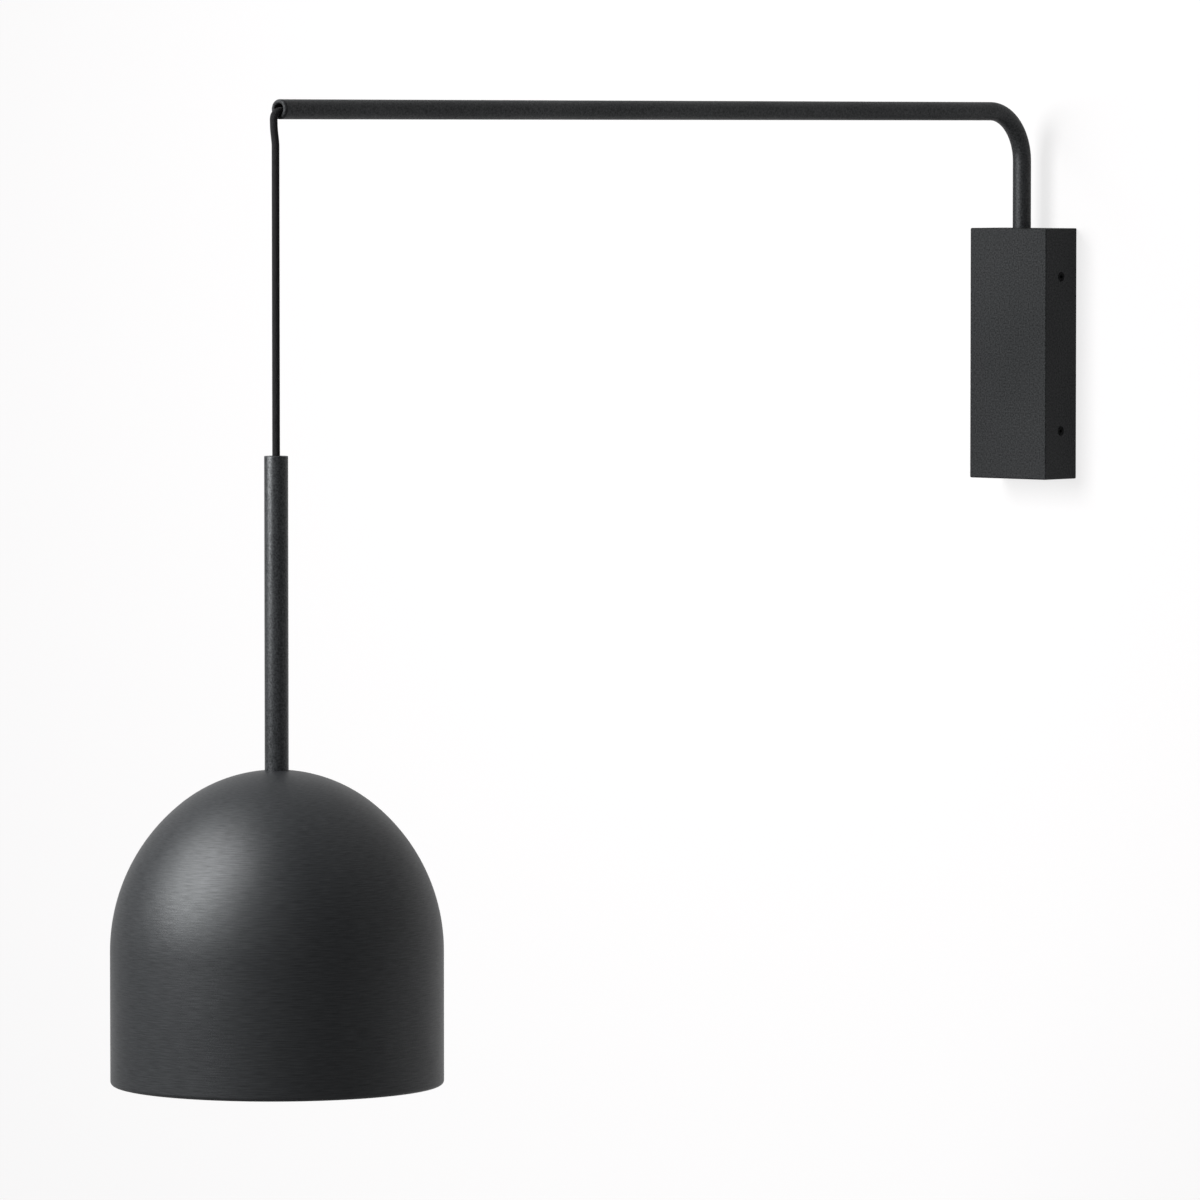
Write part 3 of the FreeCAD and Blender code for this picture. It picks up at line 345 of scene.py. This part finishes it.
# The lining is the shade's black paint made about ten times lighter: painted light for the inside
# of the bell, where little light reaches.
painted_light_lining_coat = make_coat("lining_paint_painted_lighter", 0.09, 0.6, (0.19, 0.32), spun=True)
braid = make_braid()
FINISHES = {
    BLACK: painted_shade_box_coat,
    "braid": braid,
    # The screws' near-black without shine is partly their own black and partly painted shade for
    # the shadow round their countersunk heads.
    "black_steel": make_coat("black_steel", 0.001, 0.5, (0.0, 0.06)),
    "zinc_steel": make_plain("zinc_steel", (0.36, 0.37, 0.37), 0.4, 1.0, 900.0, 0.00001),
    "brass": make_plain("brass", (0.7, 0.52, 0.26), 0.3, 1.0, 1200.0, 0.00001),
    "nylon": make_plain("nylon", (0.8, 0.78, 0.72), 0.5, 0.0, 1200.0, 0.00001),
    "block_plastic": make_plain("block_plastic", (0.85, 0.85, 0.83), 0.45, 0.0, 1500.0, 0.00001),
    "rubber": make_plain("rubber", (0.02, 0.02, 0.02), 0.8, 0.0, 1800.0, 0.00002),
    "holder_plastic": make_plain("holder_plastic", (0.06, 0.06, 0.06), 0.25, 0.0, 700.0, 0.00001),
    "ceramic": make_plain("ceramic", (0.86, 0.84, 0.8), 0.2, 0.0, 600.0, 0.00001),
    "bulb_plastic": make_plain("bulb_plastic", (0.86, 0.86, 0.84), 0.4, 0.0, 1300.0, 0.00001),
    "opal_glass": make_plain("opal_glass", (0.9, 0.9, 0.87), 0.08, 0.0, 60.0, 0.00003),
}


def paint_nodes():
    """Gives every CAD node the finish of its material slot."""
    slots = {row["node"]: row["material_slot"] for row in frame["record"]["subparts"]}
    for name, node in frame["nodes"].items():
        node.data.materials.clear()
        node.data.materials.append(FINISHES[slots[name]])


# --- arm --------------------------------------------------------------------------------------


def make_arm():
    """The bent tube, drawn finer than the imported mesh."""
    corner = (PIVOT_Y - ARM_BEND, ARM_LEVEL - ARM_BEND)
    bend = [Vector((0, y, z)) for y, z in arc(corner, ARM_BEND, 0, 90, 48)]
    line = [Vector((0, PIVOT_Y, ARM_FOOT)), *bend, Vector((0, ARM_END, ARM_LEVEL))]
    arm = tube("arm_skin", line, TUBE_RADIUS, arm_coat, sides=64)
    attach(arm, "arm")
    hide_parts("arm_tube")


def make_mouth():
    """The rounded ring in the arm's open end, with the fine seam where it meets the tube."""
    lip, bore, round_off, seam = 2.5 * MM, 4.5 * MM, 1.4 * MM, 0.25 * MM
    plug_end, plug_start = -12 * MM, -1 * MM
    outer_middle = (TUBE_RADIUS - round_off, lip - round_off)
    inner_middle = (bore + round_off, lip - round_off)
    profile = [(TUBE_BORE, plug_start), (TUBE_BORE, 0), (TUBE_RADIUS - seam, 0)]
    profile += [(TUBE_RADIUS, seam), *arc(outer_middle, round_off, 0, 90, 12)]
    profile += [*arc(inner_middle, round_off, 90, 180, 12), (bore, plug_end)]
    profile += [(TUBE_BORE, plug_end), (TUBE_BORE, plug_start)]
    place = (0, ARM_END, ARM_LEVEL)
    mouth = lathe("mouth_ring", profile, dull_coat, place, forward=True)
    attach(mouth, "arm")
    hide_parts("mouth_bush")


# --- cord -------------------------------------------------------------------------------------


def spline_line():
    """Points along the cord's whole line, from its foot in the wall box into the stem."""
    curve = bpy.data.curves.new("cord_line", "CURVE")
    curve.dimensions = "3D"
    curve.resolution_u = 64
    spline = curve.splines.new("NURBS")
    spline.points.add(len(CORD_POINTS) - 1)
    for point, (y, z) in zip(spline.points, CORD_POINTS):
        point.co = (0, y * MM, z * MM, 1)
    spline.order_u = 3
    spline.use_endpoint_u = True
    holder = bpy.data.objects.new("cord_line", curve)
    mesh = bpy.data.meshes.new_from_object(holder)
    line = [vertex.co.copy() for vertex in mesh.vertices]
    bpy.data.objects.remove(holder)
    return line


def even(line, step):
    """The same line in equal short steps."""
    total = sum((b - a).length for a, b in zip(line, line[1:]))
    count = max(2, round(total / step))
    marks = [total * i / count for i in range(1, count)]
    points, reached = [line[0]], 0.0
    for before, after in zip(line, line[1:]):
        length = (after - before).length
        while marks and marks[0] <= reached + length:
            points.append(before.lerp(after, (marks.pop(0) - reached) / length))
        reached += length
    return points + [line[-1]]


def make_cords():
    """The cord from inside the arm's mouth to the stem, in three lengths.

    Each row also names the body above the first level and the one below the second, and those two
    levels in millimetres; nothing here reads them.
    """
    line = even(spline_line(), CORD_STEP)
    outside = [i for i, spot in enumerate(line) if spot.y < CORD_START_Y]
    start, end = outside[0], len(line) - 1
    upper = next(i for i in outside if line[i].z < UPPER_CUT)
    lower = next(i for i in outside if line[i].z < LOWER_CUT)
    stretches = [
        ("cord_over_lip", start, upper, "arm", "cord_top", 178, 158, "arm_cord"),
        ("cord_below_lip", upper, lower, "cord_top", "cord", 157, 143, "upper_cord"),
        ("cord_above_stem", lower, end, "cord", "pendant", -50, -60, "hanging_cord"),
    ]
    for name, low, high, above, below, level, last, node in stretches:
        path = line[low:high + 1]
        piece = tube(name, path, CORD_RADIUS, braid, start=low * CORD_STEP)
        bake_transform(piece)
        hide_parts(node)


# --- pendant ----------------------------------------------------------------------------------


def make_stem():
    """The stem, with a softened top edge."""
    edge = 0.4 * MM
    top = STEM_TOP - SEAT
    bore = STEM_RADIUS - STEM_WALL
    profile = [(bore, 0), (STEM_RADIUS, 0)]
    profile += arc((STEM_RADIUS - edge, top - edge), edge, 0, 90, 6)
    profile += [(bore, top), (bore, 0)]
    stem = lathe("stem_skin", profile, satin_coat, (0, PENDANT_Y, SEAT))
    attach(stem, "pendant")
    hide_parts("stem_tube")


def shade_side(inset, crown, crown_level, foot):
    """The dome's side from seat to skirt, that far inside its outer face.

    Two arcs meet in one tangent: the crown's, of radius crown about a point on the axis, and
    the haunch's, which ends upright at the skirt.
    """
    rise, run = crown_level - foot, SHADE_RADIUS - crown
    haunch = (rise**2 + run**2) / (2 * run) + crown
    lean = math.degrees(math.atan2(rise, haunch - SHADE_RADIUS))
    top = math.degrees(math.acos(SEAT_RADIUS / crown))
    side = arc((0, crown_level), crown - inset, top, lean, 48)
    return side + arc((SHADE_RADIUS - haunch, foot), haunch - inset, lean, 0, 32)[1:]


def make_shade():
    """The spun bell: its outer face, the rim turned inwards and its inner face, which takes a
    lighter copy of the paint as painted light.
    """
    crown = SHADE_RADIUS**2 / DOME_HEIGHT
    crown_level = -math.sqrt(crown**2 - SEAT_RADIUS**2)
    foot = crown_level + crown - DOME_HEIGHT
    rim = foot - SKIRT_HEIGHT
    middle = (SHADE_RADIUS - RIM_ROUND, rim + RIM_ROUND)
    profile = [(SHADE_HOLE, 0), (SEAT_RADIUS, 0)]
    profile += shade_side(0, crown, crown_level, foot)
    profile += arc(middle, RIM_ROUND, 0, -90, 16)
    profile += [(RIM_LIP, rim), (RIM_LIP, rim + SHADE_WALL)]
    profile += arc(middle, RIM_ROUND - SHADE_WALL, -90, 0, 12)
    profile += reversed(shade_side(SHADE_WALL, crown, crown_level, foot))
    profile += [(SHADE_HOLE, -SHADE_WALL), (SHADE_HOLE, 0)]
    profile.reverse()
    shade = lathe("shade_skin", profile, spun_coat, (0, PENDANT_Y, SEAT), columns=256)
    # Faces that look inwards take the lighter lining paint, painted light for the dim inside of
    # the bell.
    shade.data.materials.append(painted_light_lining_coat)
    axis = Vector((0, PENDANT_Y, 0))
    for face in shade.data.polygons:
        outward = (face.center - axis).xy.dot(face.normal.xy)
        face.material_index = int(outward < 0)
    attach(shade, "pendant")
    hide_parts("shade")


# --- stage, light and camera ------------------------------------------------------------------


def make_stage():
    """A pale wall behind the box, and a wide pale floor that turns up at its far edge."""
    pale, wall_glow, floor_glow = (0.105, 0.1035, 0.104), 0.79, 0.48
    wall_middle, upright, wall_size = (0, 0.6 * MM, 0.4), (math.radians(90), 0, 0), 12
    bpy.ops.mesh.primitive_plane_add(size=wall_size, location=wall_middle, rotation=upright)
    wall = bpy.context.object
    wall.name = "wall"
    wall.data.materials.append(make_stage_finish("wall_paint", wall_glow, pale))
    edge, turned_up, pinpoint, level = 40.0, 7.0, 0.1 * MM, -1.6
    profile = [(edge, turned_up), (edge, 0.0), (pinpoint, 0.0)]
    finish = make_stage_finish("floor_paint", floor_glow, pale)
    floor = lathe("floor", profile, finish, (0, 0, level))


def make_light(name, spot, target, size, power):
    """A soft rectangular light at spot that faces the target."""
    data = bpy.data.lights.new(name, "AREA")
    data.shape = "RECTANGLE"
    data.size, data.size_y = size
    data.energy = power
    light = bpy.data.objects.new(name, data)
    light.location = spot
    light.rotation_euler = (Vector(target) - Vector(spot)).to_track_quat("-Z", "Y").to_euler()
    bpy.context.scene.collection.objects.link(light)


def make_lights():
    """A near key light in front of the shade, a weak fill and a faint even surround."""
    make_light("key", (-0.47, -1.99, 0.5), (0.02, -1.0, -0.36), (1.0, 1.25), 104)
    make_light("fill", (2.6, -2.8, 0.6), (0, -0.7, 0), (2.0, 2.0), 1.5)
    world = bpy.data.worlds.new("studio")
    world.use_nodes = True
    surround = world.node_tree.nodes["Background"].inputs
    surround["Color"].default_value = SOFT_WHITE
    surround["Strength"].default_value = 0.1
    bpy.context.scene.world = world
    bpy.context.scene.view_settings.view_transform = "Standard"


def make_camera():
    """The view from the right of the lamp, nearly level, with a long lens."""
    data = bpy.data.cameras.new("camera")
    data.lens = 265.8
    data.sensor_width = 36.0
    data.clip_end = 50.0
    camera = bpy.data.objects.new("camera", data)
    camera.location = (4.6037, -5.6527, 0.1810)
    camera.rotation_euler = (math.radians(90 - 3.023), 0, math.radians(41.993))
    bpy.context.scene.collection.objects.link(camera)
    bpy.context.scene.camera = camera


paint_nodes()
make_arm()
make_mouth()
make_cords()
make_stem()
make_shade()
make_stage()
make_lights()
make_camera()
